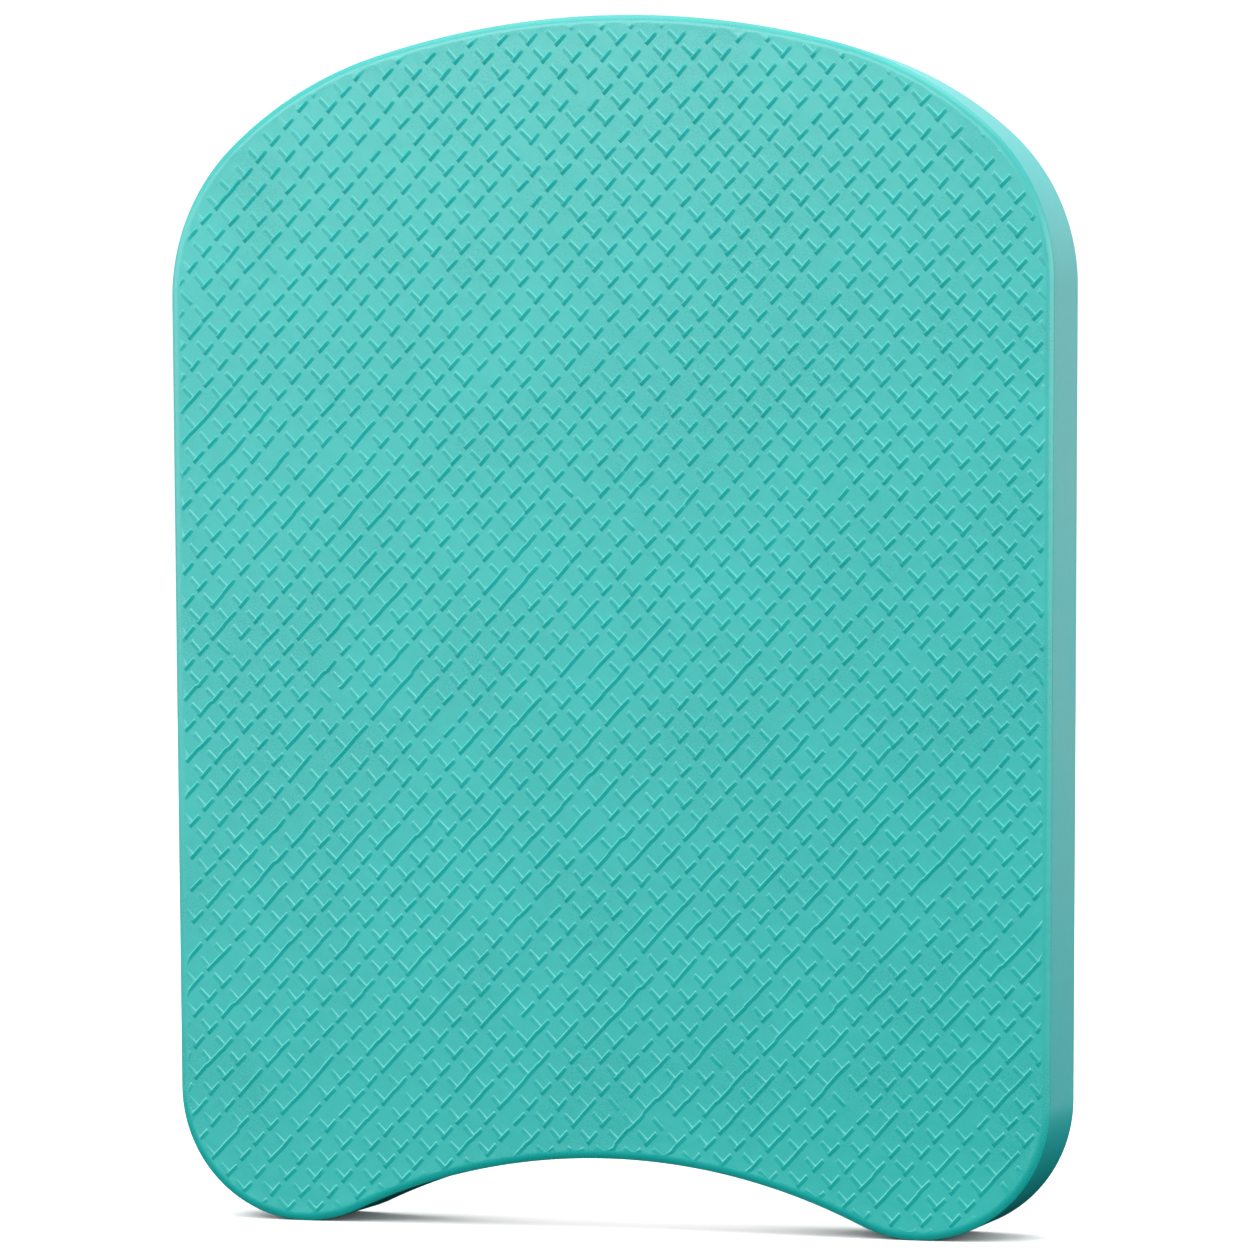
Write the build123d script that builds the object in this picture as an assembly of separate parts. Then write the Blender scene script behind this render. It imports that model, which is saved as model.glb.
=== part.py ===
from build123d import *
import math
import os

# A swimming kickboard laminated from three sheets of closed-cell foam: a thick core with an
# embossed facing sheet bonded to each side, die-cut to one outline. It stands on its tail:
# X runs across the board, +Z from the tail to the nose, and the front faces -Y. The origin is
# midway between the two lobes of the tail, on the surface that they stand on. Millimetres.

# Overall sizes
board_length = 381.0
board_width = 291.0
board_thickness = 33.0

# Layers. A facing sheet is measured to the crowns of its embossing.
skin_thickness = 3.2
border_run = 2.6
border_drop = 1.4

# Outline, from the shoulders up to the nose. Angles are measured up from the X axis.
shoulder_radius = 65.0
cheek_radius = 120.5
cheek_start_angle = 47.5
crown_start_angle = 74.0

# Outline, from the shoulders down to the tail
side_taper_angle = 0.49
tail_corner_radius = 42.3
notch_rise = 22.5

# Where the layers meet, measured from the middle of the thickness
core_half_thickness = board_thickness / 2 - skin_thickness


def heading(angle):
    """The unit vector at an angle, in degrees, up from the X axis."""
    return Vector(math.cos(math.radians(angle)), math.sin(math.radians(angle)))


def arc(center, radius, from_angle, to_angle):
    """An arc about a centre, between two angles, in the plane of the outline."""
    middle_angle = (from_angle + to_angle) / 2
    return ThreePointArc(
        center + radius * heading(from_angle),
        center + radius * heading(middle_angle),
        center + radius * heading(to_angle),
    )


def nose_centers():
    """The centres of the shoulder, cheek and crown arcs, and the crown's radius.

    The three arcs run on from one another, and the crown's centre is on the middle line, so
    the crown's radius follows from the width and from the other two radii.
    """
    shoulder = Vector(board_width / 2 - shoulder_radius, 0)
    cheek = shoulder - (cheek_radius - shoulder_radius) * heading(cheek_start_angle)
    crown_radius = cheek_radius + cheek.X / heading(crown_start_angle).X
    crown = cheek - (crown_radius - cheek_radius) * heading(crown_start_angle)
    up = Vector(0, board_length - crown.Y - crown_radius)
    return shoulder + up, cheek + up, crown + up, crown_radius


def tail_centers(shoulder):
    """The centres of the tail corner and the notch, and the notch's radius.

    The corner touches the tapered side and the standing surface. The notch touches the
    corner, and its top is on the middle line at the notch's rise.
    """
    outward = heading(-side_taper_angle)
    side_offset = shoulder_radius - tail_corner_radius
    drop = shoulder.Y - tail_corner_radius
    corner_x = shoulder.X + (side_offset + drop * outward.Y) / outward.X
    corner = Vector(corner_x, tail_corner_radius)
    rise_to_corner = tail_corner_radius - notch_rise
    reach = corner_x**2 + rise_to_corner**2 - tail_corner_radius**2
    notch_radius = reach / (2 * notch_rise)
    return corner, Vector(0, notch_rise - notch_radius), notch_radius


def board_outline():
    """The die-cut outline as a face, upright, with the front side facing -Y."""
    shoulder, cheek, crown, crown_radius = nose_centers()
    corner, notch, notch_radius = tail_centers(shoulder)
    to_notch = notch - corner
    corner_end_angle = math.degrees(math.atan2(to_notch.Y, to_notch.X))
    notch_end_angle = corner_end_angle + 180
    right_side = [
        arc(cheek, cheek_radius, crown_start_angle, cheek_start_angle),
        arc(shoulder, shoulder_radius, cheek_start_angle, -side_taper_angle),
        Line(
            shoulder + shoulder_radius * heading(-side_taper_angle),
            corner + tail_corner_radius * heading(-side_taper_angle),
        ),
        arc(corner, tail_corner_radius, -side_taper_angle, corner_end_angle),
    ]
    left_side = [mirror(edge, Plane.YZ) for edge in right_side]
    nose = arc(crown, crown_radius, 180 - crown_start_angle, crown_start_angle)
    tail = arc(notch, notch_radius, notch_end_angle, 180 - notch_end_angle)
    outline = Curve() + right_side + left_side + [nose, tail]
    return make_face(Plane.XZ * outline)


def foam_core():
    """The core sheet. Its cut edge is the board's side wall."""
    return extrude(board_outline(), core_half_thickness, both=True)


def front_skin():
    """The front facing sheet, with the border that the press leaves round its rim."""
    sheet = extrude(board_outline(), skin_thickness, dir=(0, -1, 0))
    sheet = Pos(Y=-core_half_thickness) * sheet
    face = sheet.faces().sort_by(Axis.Y).first
    return chamfer(face.edges(), border_run, border_drop, reference=face)


def back_skin():
    """The back facing sheet, the front one's mirror image."""
    return mirror(front_skin(), Plane.XZ)


os.makedirs("parts", exist_ok=True)
export_step(foam_core(), "parts/foam_core.step")
export_step(front_skin(), "parts/front_skin.step")
export_step(back_skin(), "parts/back_skin.step")
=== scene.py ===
# %% [markdown]
# # A foam swimming kickboard
# The real board is three sheets of closed-cell foam, glued face to face and cut to one outline by a
# steel rule die. The two facing sheets go through an embossing press first, which leaves rows of small
# raised dashes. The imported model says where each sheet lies, so the first step loads it, and every
# piece made here is built round it in the same metres and the same frame.

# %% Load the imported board
import math
from typing import NamedTuple

import bmesh
import bpy
import numpy as np
from mathutils import Matrix, Quaternion, Vector


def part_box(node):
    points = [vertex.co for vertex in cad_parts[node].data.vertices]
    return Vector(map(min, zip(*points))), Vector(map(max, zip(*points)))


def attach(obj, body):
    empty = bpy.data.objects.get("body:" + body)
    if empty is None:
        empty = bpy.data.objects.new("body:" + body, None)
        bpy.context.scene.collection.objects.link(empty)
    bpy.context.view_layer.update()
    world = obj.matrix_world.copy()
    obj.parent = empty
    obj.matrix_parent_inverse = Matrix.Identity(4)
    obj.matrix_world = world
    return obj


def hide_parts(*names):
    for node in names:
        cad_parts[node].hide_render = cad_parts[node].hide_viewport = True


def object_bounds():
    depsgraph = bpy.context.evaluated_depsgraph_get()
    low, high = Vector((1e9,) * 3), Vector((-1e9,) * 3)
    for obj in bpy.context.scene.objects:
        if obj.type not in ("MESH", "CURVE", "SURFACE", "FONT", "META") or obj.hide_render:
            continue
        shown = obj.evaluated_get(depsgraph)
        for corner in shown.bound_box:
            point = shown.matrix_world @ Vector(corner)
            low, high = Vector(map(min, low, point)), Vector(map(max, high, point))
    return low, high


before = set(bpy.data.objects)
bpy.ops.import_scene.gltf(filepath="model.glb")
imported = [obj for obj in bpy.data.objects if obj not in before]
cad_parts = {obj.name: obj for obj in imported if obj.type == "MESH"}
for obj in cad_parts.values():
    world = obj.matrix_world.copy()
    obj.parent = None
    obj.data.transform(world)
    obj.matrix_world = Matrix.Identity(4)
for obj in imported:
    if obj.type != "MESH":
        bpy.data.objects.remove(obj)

mm = 0.001
scene = bpy.context.scene
board_low, board_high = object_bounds()
core_low, core_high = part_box("foam_core")
board_length = board_high.z
half_width = board_high.x
print(f"board {board_length / mm:.1f} mm long and {2 * half_width / mm:.1f} mm wide")
print(f"core {(core_high.y - core_low.y) / mm:.1f} mm thick")

# %% [markdown]
# ## The camera
# A long lens a good way off keeps the board's sides nearly parallel, as a catalogue likes them. The
# camera is placed on a circle round the board's middle, so an azimuth, an elevation and a distance say
# where it stands, and a small roll and shift finish the framing. It is made before anything is
# modelled, because each later step is judged through it.

# %% Stand the camera in front, a little to the board's own left
view_azimuth = math.radians(18.09)
view_elevation = math.radians(0.48)
view_roll = math.radians(-0.22)
view_distance = 1.825
view_center = Vector((0, 0, board_length / 2))

camera = bpy.data.objects.new("camera", bpy.data.cameras.new("camera"))
scene.collection.objects.link(camera)
scene.camera = camera
level = math.cos(view_elevation)
toward_camera = Vector((
    math.sin(view_azimuth) * level,
    -math.cos(view_azimuth) * level,
    math.sin(view_elevation),
))
camera.location = view_center + view_distance * toward_camera
camera.rotation_mode = "QUATERNION"
camera.rotation_quaternion = toward_camera.to_track_quat("Z", "Y") @ Quaternion((0, 0, 1), view_roll)
camera.data.sensor_width = 36
camera.data.lens = 165.8
camera.data.shift_x = 0.0066
camera.data.shift_y = -0.0033
print("camera at", [round(c, 3) for c in camera.location])

# %% [markdown]
# ## The outline
# A die maker bends the steel rule along arcs that run on from one another: a wide crown over the nose,
# a cheek and a shoulder each side, a side that tapers by half a degree, a tail corner, and one hollow
# arc between the two tail lobes. Only the right half is drawn, because the board is the same both ways.
# The radii are the die's own. The centres follow from them and from the width and length of the board.

# %% Work out the arcs of the right half, from the nose down
shoulder_radius = 65 * mm
cheek_radius = 120.5 * mm
cheek_start = math.radians(47.5)
crown_start = math.radians(74)
side_taper = math.radians(0.49)
corner_radius = 42.3 * mm
notch_rise = 22.5 * mm


class Arc(NamedTuple):
    """An arc of the rim. Angles run from the X axis up to Z, and bulge is -1 where the rim is hollow."""
    center: np.ndarray
    radius: float
    start: float
    end: float
    bulge: int


def heading(angle):
    """The unit step, across and up, at an angle from the X axis."""
    return np.array([math.cos(angle), math.sin(angle)])


def rim_arcs():
    """The arcs of the right half of the rim, from the middle of the nose to the middle of the tail."""
    shoulder = np.array([half_width - shoulder_radius, 0.0])
    cheek = shoulder - (cheek_radius - shoulder_radius) * heading(cheek_start)
    crown_radius = cheek_radius + cheek[0] / math.cos(crown_start)
    crown = cheek - (crown_radius - cheek_radius) * heading(crown_start)
    lift = np.array([0.0, board_length - crown[1] - crown_radius])

    outward = heading(-side_taper)
    drop = shoulder[1] + lift[1] - corner_radius
    corner_x = shoulder[0] + (shoulder_radius - corner_radius + drop * outward[1]) / outward[0]
    corner = np.array([corner_x, corner_radius])
    rise_to_corner = corner_radius - notch_rise
    notch_radius = (corner_x**2 + rise_to_corner**2 - corner_radius**2) / (2 * notch_rise)
    notch = np.array([0.0, notch_rise - notch_radius])
    to_notch = notch - corner
    corner_end = math.atan2(to_notch[1], to_notch[0])
    return [
        Arc(crown + lift, crown_radius, math.pi / 2, crown_start, 1),
        Arc(cheek + lift, cheek_radius, crown_start, cheek_start, 1),
        Arc(shoulder + lift, shoulder_radius, cheek_start, -side_taper, 1),
        Arc(corner, corner_radius, -side_taper, corner_end, 1),
        Arc(notch, notch_radius, corner_end + math.pi, math.pi / 2, -1),
    ]


arcs = rim_arcs()
shoulder_arc, corner_arc = arcs[2:4]
print("radii in mm:", [round(arc.radius / mm, 1) for arc in arcs])

# %% [markdown]
# ## How far in from the rim a point is
# The press leaves a border round each face that rolls down to the rim, so many later steps need to
# know how far a point is from the nearest rim and which way the rim lies. Measuring against a mesh
# would take its facets along. Measuring against the arcs is exact: inside the wedge that an arc
# sweeps, the distance is its radius less the reach from its centre.

# %% Measure points against the arcs
def from_rim(x, z):
    """Each point's distance in from the rim, and the two parts of the step that leads out to it."""
    right_x = np.abs(x)
    out_x, out_z = heading(-side_taper)
    side = shoulder_arc.center + shoulder_radius * heading(-side_taper)
    inset = (side[0] - right_x) * out_x + (side[1] - z) * out_z
    step_x = np.full_like(inset, out_x)
    step_z = np.full_like(inset, out_z)
    for arc in arcs:
        across = right_x - arc.center[0]
        up = z - arc.center[1]
        reach = np.hypot(across, up)
        angle = np.arctan2(up, across)
        within = (angle <= max(arc.start, arc.end)) & (angle >= min(arc.start, arc.end))
        arc_inset = arc.bulge * (arc.radius - reach)
        nearer = within & (arc_inset < inset)
        inset = np.where(nearer, arc_inset, inset)
        step_x = np.where(nearer, arc.bulge * across / reach, step_x)
        step_z = np.where(nearer, arc.bulge * up / reach, step_z)
    return inset, step_x * np.sign(x), step_z


test_inset = from_rim(np.array([0.0, half_width]), np.array([board_length, 0.25]))[0]
print("inset at the nose and at the side, in mm:", np.round(test_inset / mm, 2))

# %% [markdown]
# ## Drawing the rim and finishing a piece
# One vertex is enough to start the rim from: the spin operator drags it round each centre in turn and
# leaves the edges behind, as a pencil on a compass would. The half outline is then mirrored. Each piece
# ends the same way, with its faces turned outwards and shaded smooth, and with the large faces leading
# the shading, so that flat foam looks flat right up to a bar or a rim.

# %% Helpers for rims, normals and objects
rim_step = 1.8 * mm


def add_rim(bm, y):
    """Draws the whole rim at a depth y by dragging one vertex along it, and returns its edges."""
    tip = bm.verts.new((0, y, board_length))
    for arc in arcs:
        if arc is corner_arc:
            side_end = corner_arc.center + corner_radius * heading(-side_taper)
            tip = bmesh.ops.extrude_vert_indiv(bm, verts=[tip])["verts"][0]
            tip.co = (side_end[0], y, side_end[1])
        sweep = arc.end - arc.start
        spun = bmesh.ops.spin(
            bm,
            geom=[tip],
            cent=(arc.center[0], y, arc.center[1]),
            axis=(0, -1, 0),
            angle=sweep,
            steps=math.ceil(abs(sweep) * arc.radius / rim_step),
        )
        tip = spun["geom_last"][0]
    half = bm.verts[:] + bm.edges[:]
    bmesh.ops.mirror(bm, geom=half, matrix=Matrix(), merge_dist=0.01 * mm, axis="X")
    return bm.edges[:]


def open_edges(bm):
    """The edges that only one face uses."""
    return [edge for edge in bm.edges if edge.is_boundary]


def finish_piece(bm, name, materials):
    """Makes an object of a bmesh, smooth shaded, with big faces leading the shading of small ones."""
    bmesh.ops.recalc_face_normals(bm, faces=bm.faces[:])
    for face in bm.faces:
        face.smooth = True
    mesh = bpy.data.meshes.new(name)
    bm.to_mesh(mesh)
    piece = bpy.data.objects.new(name, mesh)
    scene.collection.objects.link(piece)
    for material in materials:
        mesh.materials.append(material)
    shading = piece.modifiers.new("even shading", "WEIGHTED_NORMAL")
    shading.mode = "FACE_AREA"
    shading.keep_sharp = True
    mesh.calc_loop_triangles()
    left_open = len(open_edges(bm))
    print(f"{name}: {len(mesh.loop_triangles)} triangles, {left_open} open edges, "
          f"{bm.calc_volume() * 1e6:.1f} cubic centimetres")
    bm.free()
    return piece


# %% [markdown]
# ## Writing a finish as sums
# A node tree is easier to read as arithmetic than as boxes and links. The small class below wraps one
# socket of a tree: adding, subtracting or multiplying it puts the Math node in by itself, and its add
# method adds any other node. Every finish further down is written with it.

# %% A socket that can be reckoned with
class Wire:
    """An output socket of a node tree, or the bare tree, that nodes are added from."""

    def __init__(self, tree, socket=None):
        self.tree = tree
        self.socket = socket

    def add(self, kind, settings=None, inputs=None, output=0):
        """Adds a node: its settings come first, then its sockets' values or links."""
        node = self.tree.nodes.new(kind)
        for name, value in (settings or {}).items():
            setattr(node, name, value)
        for name, value in (inputs or {}).items():
            if isinstance(value, Wire):
                self.tree.links.new(value.socket, node.inputs[name])
            else:
                node.inputs[name].default_value = value
        return Wire(self.tree, node.outputs[output]) if node.outputs else node

    def reckon(self, operation, *values):
        return self.add("ShaderNodeMath", {"operation": operation}, dict(enumerate(values)))

    def __add__(self, other):
        return self.reckon("ADD", self, other)

    def __sub__(self, other):
        return self.reckon("SUBTRACT", self, other)

    def __rsub__(self, other):
        return self.reckon("SUBTRACT", other, self)

    def __mul__(self, other):
        return self.reckon("MULTIPLY", self, other)

    __radd__ = __add__
    __rmul__ = __mul__

    def between(self, low, high):
        """0 below low, 1 above high, and an eased ramp from one to the other."""
        ease = {"interpolation_type": "SMOOTHSTEP"}
        return self.add("ShaderNodeMapRange", ease, {"Value": self, "From Min": low, "From Max": high})

    def blend(self, first, second):
        """A colour that goes from the first to the second as this goes from 0 to 1."""
        mixed = {"Factor": self, 6: first, 7: second}
        return self.add("ShaderNodeMix", {"data_type": "RGBA", "clamp_factor": True}, mixed, 2)


def new_finish(name):
    """A new material with its tree emptied, as a bare wire to build from."""
    material = bpy.data.materials.new(name)
    material.use_nodes = True
    material.node_tree.nodes.clear()
    return material, Wire(material.node_tree)


# %% [markdown]
# ## The finishes of the foam
# The press heats the foam's surface, so its cells close into a thin satin skin. Seen close it has a
# very fine grain, shallow dimples a few millimetres across, and a colour that drifts a little. The wall
# was cut with a knife, so its cells are open and duller. Its paler, bluer colour stands partly for the
# open cells and partly for painted reflection: the pale sheen a white studio leaves on a wall seen at a
# glancing angle. Noise in object coordinates makes all of that. They are in metres, so a scale of 1000
# means grain of about a millimetre. Only the base colour, the roughness and the bump vary.

# %% Mix the foam finishes
def noise(wire, scale, detail=2.0, roughness=0.5):
    """Soft noise from 0 to 1 on the object's own coordinates."""
    where = wire.add("ShaderNodeTexCoord", output="Object")
    inputs = {"Vector": where, "Scale": scale, "Detail": detail, "Roughness": roughness}
    return wire.add("ShaderNodeTexNoise", inputs=inputs)


grain_depth = 1 * mm


def foam_finish(name, deep, pale, sheen, gloss):
    """Closed-cell foam between two near colours, with a fine grain and shallow dimples."""
    material, wire = new_finish(name)
    drift = noise(wire, 28, 3.0)
    grain = noise(wire, 1900, 2.0, 0.6)
    dimples = noise(wire, 330, 2.0)
    tone = (0.55 * drift + 0.25 * dimples + 0.2 * grain).between(0.3, 0.7)
    color = tone.blend(deep, pale)
    roughness = sheen + 0.08 * (grain - 0.5) + 0.1 * (drift - 0.5)
    height = dimples * 0.035 + grain * 0.012
    bump = wire.add("ShaderNodeBump", inputs={"Strength": 1.0, "Distance": grain_depth, "Height": height})
    surface = wire.add("ShaderNodeBsdfPrincipled", inputs={
        "Base Color": color,
        "Roughness": roughness,
        "Normal": bump,
        "IOR": 1.5,
        "Specular IOR Level": gloss,
    })
    wire.add("ShaderNodeOutputMaterial", inputs={"Surface": surface})
    print("finish", name, "with", len(material.node_tree.nodes), "nodes")
    return material


pressed_skin = foam_finish(
    "pressed_skin",
    deep=(0.0078, 0.338, 0.309, 1),
    pale=(0.0098, 0.378, 0.347, 1),
    sheen=0.29,
    gloss=0.68,
)
# The wall's colours are paler and bluer than the face's: partly the open cut cells, partly painted
# reflection of the white studio seen at a glancing angle.
cut_foam_and_painted_sheen = foam_finish(
    "cut_foam_and_painted_sheen",
    deep=(0.0105, 0.42, 0.413, 1),
    pale=(0.0125, 0.46, 0.453, 1),
    sheen=0.4,
    gloss=0.45,
)

# %% [markdown]
# ## The core sheet
# The core is the thick sheet in the middle, and its cut edge is the board's side wall. It could be
# bevelled from a box, but the rim's arcs are already there: the rim is filled with one face, the face
# is extruded to the sheet's thickness, and a hair of bevel takes the razor edge off both rims.

# %% Cut the core sheet
bm = bmesh.new()
rim = add_rim(bm, core_low.y)
face = bmesh.ops.contextual_create(bm, geom=rim)["faces"][0]
grown = bmesh.ops.extrude_face_region(bm, geom=[face])["geom"]
grown_verts = [item for item in grown if isinstance(item, bmesh.types.BMVert)]
bmesh.ops.translate(bm, verts=grown_verts, vec=(0, core_high.y - core_low.y, 0))
if open_edges(bm):
    bmesh.ops.contextual_create(bm, geom=open_edges(bm))
bmesh.ops.recalc_face_normals(bm, faces=bm.faces[:])
joint_bevel = 0.04 * mm
rim_edges = [edge for edge in bm.edges if edge.calc_face_angle() > math.radians(60)]
bmesh.ops.bevel(
    bm,
    geom=rim_edges,
    offset=joint_bevel,
    affect="EDGES",
    segments=1,
    profile=0.5,
    material=-1,
)
core_sheet = finish_piece(bm, "core_sheet", [cut_foam_and_painted_sheen])
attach(core_sheet, "root")
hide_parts("foam_core")

# %% [markdown]
# ## The dashes
# The press plate is cut with rows of small V marks on a diamond lattice, and the foam rises into them.
# One arm of each V leans right and starts a little past the point of the V. The other leans left and
# stops against it. Each arm is a low bar with a broad slope on its lower side and a steeper one on its
# upper side. A grid that is even but for its line spacing can carry all of that: seven lines cross each
# cell one way and six the other, set where the slopes of the bars begin and end, so no face is wasted
# on the bare ground between them.

# %% Set out the lattice of the press plate
right_stride = np.array([4.75, 5.00]) * mm
left_stride = np.array([-5.00, 5.15]) * mm
lattice_point = np.array([-0.1, 220.0]) * mm

# Lines across the left arm, with the ends of the right arm, in strides up to the right.
right_lines = np.array([-0.15, -0.09, 0.07, 0.10, 0.155, 0.48, 0.57])
right_arm_along = np.array([0, 1, 1, 1, 1, 1, 0])
left_arm_across = np.array([0, 0, 1, 1, 0, 0, 0])

# Lines across the right arm, with the end of the left arm, in strides up to the left.
left_lines = np.array([-0.07, 0.07, 0.10, 0.155, 0.69, 0.80])
right_arm_across = np.array([0, 1, 1, 0, 0, 0])
left_arm_along = np.array([0, 1, 1, 1, 1, 0])

# How high the arms stand, how deep the ground sags between them, and the border they stop at.
arm_height = 0.45 * mm
hollow_depth = 0.08 * mm
fade_run = 1.1 * mm
border_run = 2.6 * mm
border_drop = 1.4 * mm
print("cell of", round(abs(np.cross(right_stride, left_stride)) / mm**2, 1), "square millimetres")


# %% [markdown]
# ## Pressing unevenly
# No two marks on a real board are alike. The plate wears, the foam drags as it is peeled off, and the
# press closes harder at the nose than at one tail corner. So the lattice wanders by a millimetre or
# so, each V is moved, turned, lengthened and lowered by a little of its own, and the left arms fade
# towards the lower left, where some right arms run into the next. The ground between sags in shallow
# hollows, and the marks fade out as they come to the border. The random numbers are seeded, so that
# each run presses the same board.

# %% Press the dashes into a sheet of grid
lattice_drift = 0.8 * mm
own_drift = 0.2 * mm
most_turn = 0.05
joined_share = 0.22
joined_stretch = 1.25
firm_enough = 0.65
last_bar_line = 4


def wander(x, z, seed, shortest=35 * mm, longest=110 * mm):
    """A drift from -1 to 1, summed from a few waves that cross each other."""
    draw = np.random.default_rng(seed)
    total = np.zeros_like(x)
    for _ in range(5):
        turn, phase = draw.uniform(0, 2 * math.pi, 2)
        length = draw.uniform(shortest, longest)
        total += np.sin((x * math.cos(turn) + z * math.sin(turn)) * 2 * math.pi / length + phase)
    return total / 5


def lattice_span():
    """The first and last cell each way that the board's outline can reach."""
    corners = np.array([(x, z) for x in (-half_width, half_width) for z in (0, board_length)])
    strides = np.column_stack([right_stride, left_stride])
    cells = np.linalg.solve(strides, (corners - lattice_point).T)
    return np.floor(cells.min(axis=1)).astype(int) - 1, np.ceil(cells.max(axis=1)).astype(int) + 1


def pressed_points(rights, lefts, first, count, seed):
    """Where the press leaves each grid point, its rise above the ground, and the ground's hollow."""
    draw = np.random.default_rng(seed)
    cell_r = rights // len(right_lines)
    cell_l = lefts // len(left_lines)
    line_r = rights % len(right_lines)
    line_l = lefts % len(left_lines)

    def each_v(low, high):
        return draw.uniform(low, high, count)[cell_r, cell_l]

    strides_r = cell_r + first[0]
    strides_l = cell_l + first[1]
    node_x = strides_r * right_stride[0] + strides_l * left_stride[0] + lattice_point[0]
    node_z = strides_r * right_stride[1] + strides_l * left_stride[1] + lattice_point[1]
    up = np.clip(node_z / board_length, 0, 1)
    across = np.clip(node_x / half_width, -1, 1)
    firm = np.clip(0.2 + 0.8 * up + 0.2 * across + 0.15 * wander(node_x, node_z, seed + 1), 0, 1)

    joined = draw.uniform(0, 1, count) < joined_share
    loose = firm < firm_enough
    joins = joined[cell_r, cell_l] & loose
    joined_to = np.roll(joined, 1, axis=0)[cell_r, cell_l] & loose
    right_stretch = np.where(joins, joined_stretch, 1 + 0.15 * (1 - firm) + each_v(-0.1, 0.05))
    left_stretch = 1 - 0.1 * (1 - firm) + each_v(-0.12, 0.03)
    step_r = right_lines[line_r] * np.where(line_r > last_bar_line, right_stretch, 1)
    step_l = left_lines[line_l] * np.where(line_l > last_bar_line - 1, left_stretch, 1)
    turn = each_v(-most_turn, most_turn)
    off_x = step_r * right_stride[0] + step_l * left_stride[0]
    off_z = step_r * right_stride[1] + step_l * left_stride[1]
    x = node_x + off_x - turn * off_z + each_v(-own_drift, own_drift)
    z = node_z + off_z + turn * off_x + each_v(-own_drift, own_drift)
    x += lattice_drift * wander(node_x, node_z, seed + 2)
    z += lattice_drift * wander(node_x, node_z, seed + 3)

    at_last_line = line_r == len(right_lines) - 1
    at_first_line = line_r == 0
    right_along = right_arm_along[line_r] | (joins & at_last_line) | (joined_to & at_first_line)
    right_strength = (0.75 + 0.25 * firm) * each_v(0.8, 1.0) * (each_v(0, 1) > 0.01)
    left_strength = (0.25 + 0.75 * firm) * each_v(0.7, 1.0) * (each_v(0, 1) > 0.03)
    right_arm = right_strength * right_along * right_arm_across[line_l]
    left_arm = left_strength * left_arm_across[line_r] * left_arm_along[line_l]
    past_border = np.clip((from_rim(x, z)[0] - border_run) / fade_run, 0, 1)
    rise = arm_height * np.maximum(right_arm, left_arm) * past_border
    hollow = hollow_depth * (0.5 - 0.5 * wander(x, z, seed + 4, 7 * mm, 16 * mm)) * past_border
    return x, z, rise, hollow


first_cell, last_cell = lattice_span()
cell_count = tuple(last_cell - first_cell)
print("lattice of", cell_count, "cells before it is trimmed to the outline")

# %% [markdown]
# ## The facing sheets
# The pressed grid is trimmed to a line just inside the rim: faces wholly beyond the line go, and the
# points that still stick out are slid back onto it and joined where they crowd. The open edge is then
# extruded outwards in a few rings that roll down to the rim, over a sharp crease, down the cut wall to
# the glue line, and closed with one face. The arcs give each ring's place, so the crease is a true
# curve. The feet of the bars are marked sharp, which keeps their shading off the ground.

# %% Helpers that read and move many vertices at once
def read_points(verts):
    return np.array([vert.co for vert in verts]).reshape(-1, 3)


def move_points(verts, points):
    for vert, point in zip(verts, points):
        vert.co = point


def slide_to_inset(verts, inset_wanted):
    """Slides vertices straight out or in until they are at one distance in from the rim."""
    points = read_points(verts)
    inset, step_x, step_z = from_rim(points[:, 0], points[:, 2])
    points[:, 0] += step_x * (inset - inset_wanted)
    points[:, 2] += step_z * (inset - inset_wanted)
    move_points(verts, points)


# %% Press, trim and close a facing sheet
ground_y = board_low.y + arm_height
crease_y = board_low.y + border_drop
crease_bevel = 0.1 * mm
snap_reach = 0.2 * mm
shortest_rim_edge = 0.6 * mm
longest_rim_edge = 1.9 * mm
ring_shares = (0.22, 0.42, 0.62, 0.8, 0.93)


def pressed_grid(seed):
    """The embossed ground and dashes of the front, as a grid larger than the board."""
    bm = bmesh.new()
    segments = (cell_count[0] * len(right_lines) - 1, cell_count[1] * len(left_lines) - 1)
    bmesh.ops.create_grid(bm, x_segments=segments[0], y_segments=segments[1], size=0.5)
    rise_layer = bm.verts.layers.float.new("rise")
    verts = bm.verts[:]
    points = read_points(verts)
    rights = np.rint((points[:, 0] + 0.5) * segments[0]).astype(int)
    lefts = np.rint((points[:, 1] + 0.5) * segments[1]).astype(int)
    x, z, rise, hollow = pressed_points(rights, lefts, first_cell, cell_count, seed)
    move_points(verts, np.column_stack([x, ground_y - rise + hollow, z]))
    for vert, height in zip(verts, rise):
        vert[rise_layer] = height
    return bm


def trim_to_border(bm):
    """Cuts the grid back to the line where the border begins."""
    verts = bm.verts[:]
    points = read_points(verts)
    inset = from_rim(points[:, 0], points[:, 2])[0]
    inside = {vert for vert, deep in zip(verts, inset > border_run + snap_reach) if deep}
    beyond = [face for face in bm.faces if not inside.intersection(face.verts)]
    bmesh.ops.delete(bm, geom=beyond, context="FACES")
    on_line = [vert for vert in bm.verts if vert not in inside]
    slide_to_inset(on_line, border_run)
    bmesh.ops.remove_doubles(bm, verts=on_line, dist=shortest_rim_edge)
    slivers = [face for face in bm.faces if not inside.intersection(face.verts)]
    bmesh.ops.delete(bm, geom=slivers, context="FACES")
    long_edges = [edge for edge in open_edges(bm) if edge.calc_length() > longest_rim_edge]
    bmesh.ops.subdivide_edges(bm, edges=long_edges, cuts=1)
    rim_verts = {vert for edge in open_edges(bm) for vert in edge.verts}
    slide_to_inset(rim_verts, border_run)


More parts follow.
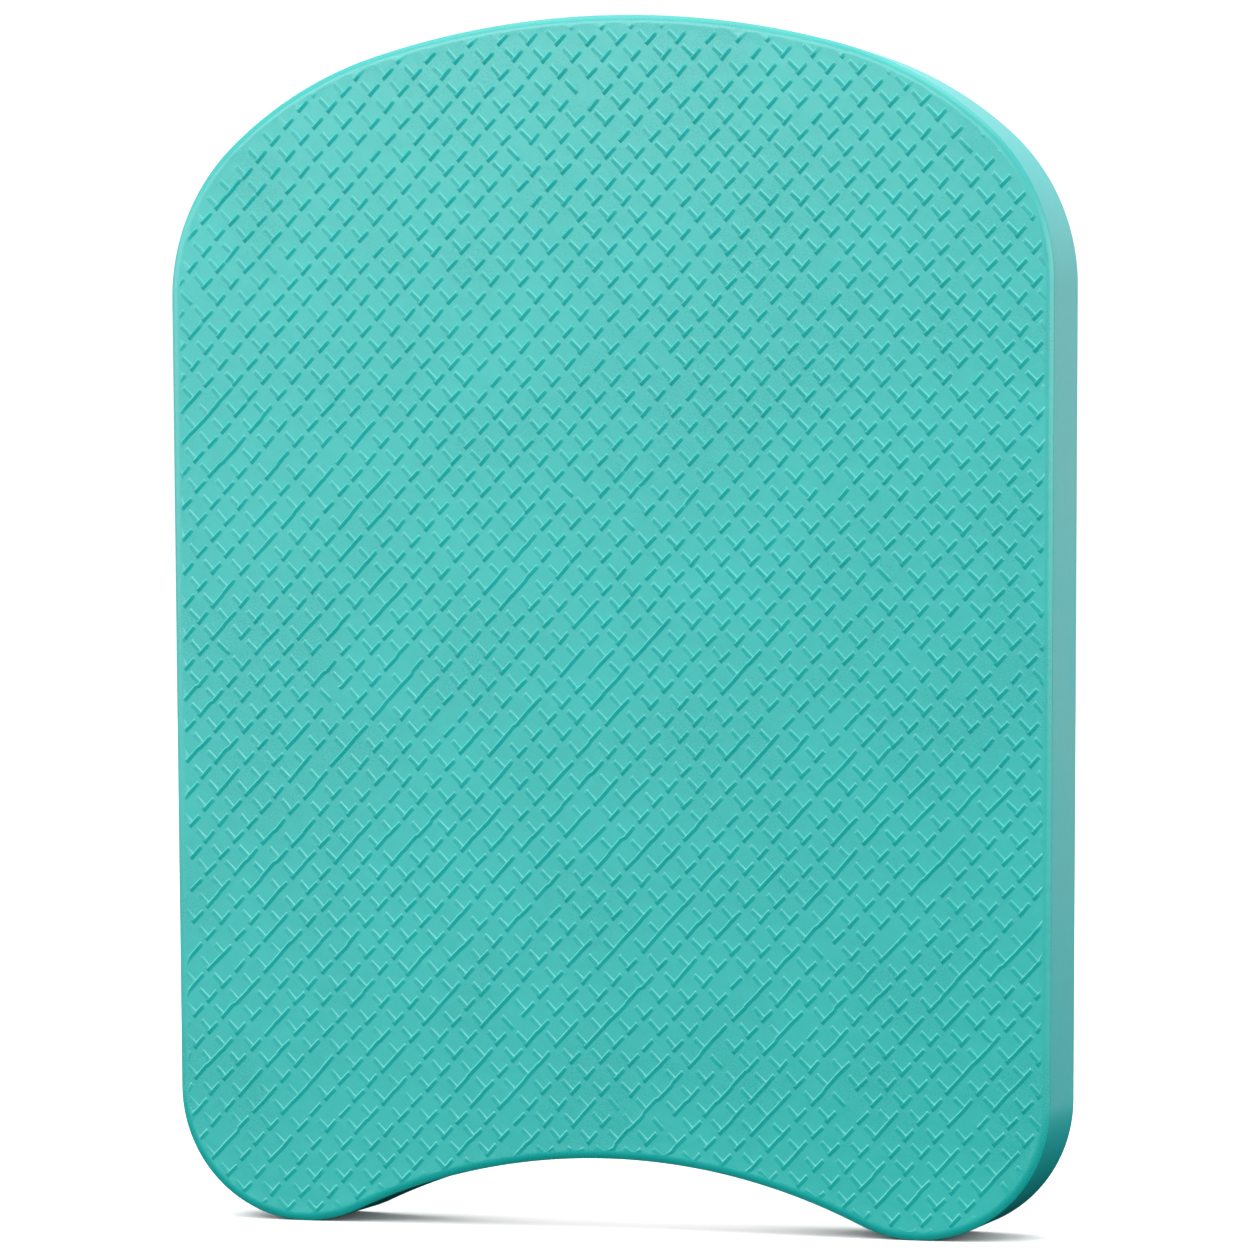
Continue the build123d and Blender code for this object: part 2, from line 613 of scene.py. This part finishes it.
def add_ring(bm, inset, y):
    """Extrudes the open edge to a new ring, and returns the new faces."""
    rise_layer = bm.verts.layers.float["rise"]
    grown = bmesh.ops.extrude_edge_only(bm, edges=open_edges(bm))["geom"]
    ring = [item for item in grown if isinstance(item, bmesh.types.BMVert)]
    slide_to_inset(ring, inset)
    for vert in ring:
        vert[rise_layer] = 0
        vert.co.y = y
    return [item for item in grown if isinstance(item, bmesh.types.BMFace)]


def crease_feet(bm):
    """Marks the edges where the slope of a bar meets the ground as sharp."""
    rise_layer = bm.verts.layers.float["rise"]
    for edge in bm.edges:
        on_ground = all(vert[rise_layer] == 0 for vert in edge.verts)
        beside_bar = any(vert[rise_layer] > 0 for face in edge.link_faces for vert in face.verts)
        edge.smooth = not (on_ground and beside_bar)


def facing_sheet(seed):
    """One facing sheet, made as the front one."""
    bm = pressed_grid(seed)
    trim_to_border(bm)
    roll_down = crease_y - ground_y
    for share in ring_shares:
        add_ring(bm, border_run * (1 - share), ground_y + roll_down * share**2)
    add_ring(bm, crease_bevel, crease_y - crease_bevel * 0.7)
    add_ring(bm, 0, crease_y + crease_bevel * 0.3)
    crease_feet(bm)
    wall = add_ring(bm, 0, core_low.y - joint_bevel)
    wall += add_ring(bm, joint_bevel, core_low.y)
    wall += bmesh.ops.contextual_create(bm, geom=open_edges(bm))["faces"]
    for face in wall:
        face.material_index = 1
    many_sided = [face for face in bm.faces if len(face.verts) > 4]
    bmesh.ops.triangulate(bm, faces=many_sided, ngon_method="BEAUTY")
    return bm


def declare_facing(piece, node):
    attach(piece, "root")
    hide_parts(node)


front_facing = finish_piece(facing_sheet(seed=11), "front_facing", [pressed_skin, cut_foam_and_painted_sheen])
declare_facing(front_facing, "front_skin")

# %% [markdown]
# ## The back facing sheet
# Both faces of such a board go through the same press, so the back has the same dashes. It is pressed
# from another draw of the random numbers, as one more sheet off the line, and turned half round so that
# it faces the other way. A mirror image would lean the dashes the wrong way.

# %% Press another for the back and turn it round
back = facing_sheet(seed=47)
bmesh.ops.rotate(back, verts=back.verts[:], matrix=Matrix.Rotation(math.pi, 3, "Z"))
back_facing = finish_piece(back, "back_facing", [pressed_skin, cut_foam_and_painted_sheen])
declare_facing(back_facing, "back_skin")

# %% [markdown]
# ## Floor
# The board stands on a plain pale floor that takes its shadow. The floor is hidden from the rays that
# leave the board, as if black card lay under it, because the undersides of the dashes should stay deep.

# %% Lay the floor
bm = bmesh.new()
bmesh.ops.create_grid(bm, x_segments=1, y_segments=1, size=6)
floor_mesh = bpy.data.meshes.new("floor")
bm.to_mesh(floor_mesh)
bm.free()
floor = bpy.data.objects.new("floor", floor_mesh)
scene.collection.objects.link(floor)
floor_finish, wire = new_finish("floor")
floor_tone = noise(wire, 3, 2.0).blend((0.93, 0.93, 0.93, 1), (0.97, 0.97, 0.97, 1))
floor_surface = wire.add("ShaderNodeBsdfPrincipled", inputs={"Base Color": floor_tone, "Roughness": 0.9})
wire.add("ShaderNodeOutputMaterial", inputs={"Surface": floor_surface})
floor_mesh.materials.append(floor_finish)
floor.visible_diffuse = False
floor.visible_glossy = False

# %% [markdown]
# ## Light
# The studio is evenly white above the floor, a little brighter overhead, and black below it. Two soft
# boxes hang over the nose and rake down the face, so each dash has a bright upper slope and a deep
# lower one. A third, in front and above, leaves a satin veil that grows towards the nose. Weaker
# ones from both sides lift the tail and the wall, and one behind keeps the back from going dark.

# %% Light the studio
horizon_glow = 1.1
overhead_glow = 0.7
world = bpy.data.worlds.new("studio")
scene.world = world
world.use_nodes = True
world.node_tree.nodes.clear()
wire = Wire(world.node_tree)
direction = wire.add("ShaderNodeTexCoord", output="Generated")
height = wire.add("ShaderNodeSeparateXYZ", inputs={"Vector": direction}, output="Z")
glow = horizon_glow * height.between(-0.12, -0.04) + overhead_glow * height.between(0.5, 1.0)
backdrop = wire.add("ShaderNodeBackground", inputs={"Color": (1, 1, 1, 1), "Strength": glow})
wire.add("ShaderNodeOutputWorld", inputs={"Surface": backdrop})


def soft_box(name, place, aim, width, depth, power):
    """A rectangle of even light that faces a point."""
    light = bpy.data.lights.new(name, "AREA")
    light.shape = "RECTANGLE"
    light.size = width
    light.size_y = depth
    light.energy = power
    lamp = bpy.data.objects.new(name, light)
    lamp.location = place
    lamp.rotation_mode = "QUATERNION"
    lamp.rotation_quaternion = (Vector(place) - Vector(aim)).to_track_quat("Z", "Y")
    scene.collection.objects.link(lamp)
    print(name, "of", power, "W")


soft_box("over the right shoulder", (0.35, -0.5, 1.3), (0, 0, 0.25), 0.6, 0.6, 2.6)
soft_box("over the left shoulder", (-0.35, -0.5, 1.3), (0, 0, 0.25), 0.6, 0.6, 1.9)
soft_box("in front and above", (-0.37, -1.14, 0.8), (0, 0, 0.35), 1.0, 0.5, 6.5)
soft_box("front left", (-1.0, -1.7, 0.4), (0, 0, 0.2), 1.2, 1.2, 3.6)
soft_box("left", (-1.6, -0.95, 0.5), (0, 0, 0.1), 1.2, 0.8, 7)
soft_box("right", (1.3, -1.3, 0.5), (0, 0, 0.1), 1.2, 0.8, 9.5)
soft_box("behind", (-0.8, 1.2, 1.2), (0, 0, 0.2), 1.0, 0.8, 11)

scene.view_settings.view_transform = "Standard"
scene.view_settings.look = "None"
